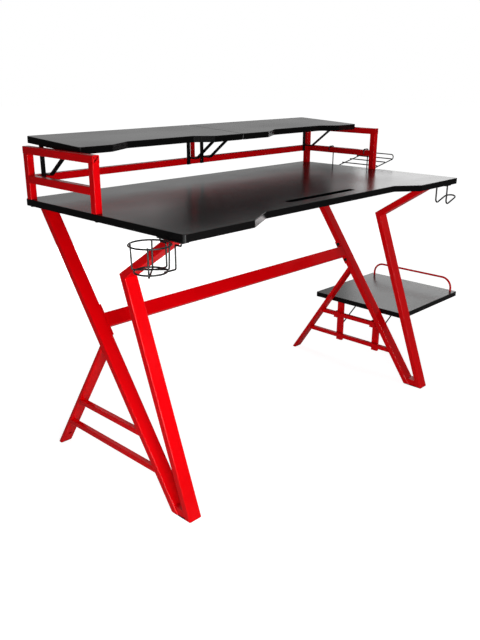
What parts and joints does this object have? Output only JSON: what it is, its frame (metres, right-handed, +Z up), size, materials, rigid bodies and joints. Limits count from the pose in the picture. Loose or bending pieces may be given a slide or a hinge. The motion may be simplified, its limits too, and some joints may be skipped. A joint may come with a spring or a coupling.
{
  "type": "gaming desk",
  "caption": "Gaming desk with slanted tube leg frames, a split raised monitor shelf, cup holder, headphone hook, controller rack and a side stand for a computer.",
  "frame": {"origin": "on the floor, under the middle of the desktop", "axes": "+Z up, +X to the right of a seated person, +Y to the back"},
  "size_m": [1.683, 0.65, 0.9144],
  "materials": {
    "red_steel": "satin powder coat",
    "black_board": "satin black film",
    "black_steel": "satin",
    "dark_wire": "satin",
    "screw_steel": "dark zinc",
    "pad_rubber": "matt",
    "plug_plastic": "matt"
  },
  "bodies": {
    "desk": {"accessory_screws": "screw_steel", "bracket_screws": "screw_steel", "cup_base_ring": "dark_wire", "cup_cradle_lower": "dark_wire", "cup_cradle_upper": "dark_wire", "cup_mount_plate": "dark_wire", "cup_mount_wires": "dark_wire", "cup_top_ring": "dark_wire", "desktop_board": "black_board", "foot_pads": "pad_rubber", "headphone_hook": "dark_wire", "headphone_plate": "dark_wire", "left_diagonal_leg": "red_steel", "left_foot_bridge": "red_steel", "left_front_arm": "red_steel", "left_front_leg": "red_steel", "left_lower_rung": "red_steel", "left_rear_leg": "red_steel", "left_upper_rung": "red_steel", "leg_screws": "screw_steel", "mount_plates": "red_steel", "rail_end_plugs": "plug_plastic", "rear_beam": "red_steel", "right_diagonal_leg": "red_steel", "right_foot_bridge": "red_steel", "right_front_arm": "red_steel", "right_front_leg": "red_steel", "right_lower_rung": "red_steel", "right_rear_leg": "red_steel", "right_upper_rung": "red_steel", "riser_bolts": "screw_steel", "riser_lower_rail_left": "red_steel", "riser_lower_rail_right": "red_steel", "riser_post_back_left": "red_steel", "riser_post_back_right": "red_steel", "riser_post_front_left": "red_steel", "riser_post_front_right": "red_steel", "riser_top_rail_left": "red_steel", "riser_top_rail_right": "red_steel", "shelf_board_left": "black_board", "shelf_board_right": "black_board", "shelf_bracket_left_end": "black_steel", "shelf_bracket_left_middle": "black_steel", "shelf_bracket_right_end": "black_steel", "shelf_bracket_right_middle": "black_steel", "shelf_centre_post": "red_steel", "stretcher_beam": "red_steel", "stretcher_bolts": "screw_steel", "stretcher_plate_left": "red_steel", "stretcher_plate_right": "red_steel"},
    "controller_rack": {"rack_frame_wire": "dark_wire", "rack_tray_wires": "dark_wire"},
    "cpu_stand": {"cpu_arms": "red_steel", "cpu_board": "black_board", "cpu_braces": "dark_wire", "cpu_bumpers": "pad_rubber", "cpu_guard_rail": "red_steel", "cpu_hooks": "red_steel", "cpu_screws": "screw_steel", "cpu_uprights": "red_steel"}
  },
  "joints": [
    {"name": "controller_rack_slide", "type": "slide", "parent": "desk", "child": "controller_rack", "axis": [0, 1, 0], "range_m": [-0.016, 0.1]},
    {"name": "cpu_stand_slide", "type": "slide", "parent": "desk", "child": "cpu_stand", "axis": [0, 1, 0], "range_m": [-0.011, 0.044]}
  ]
}
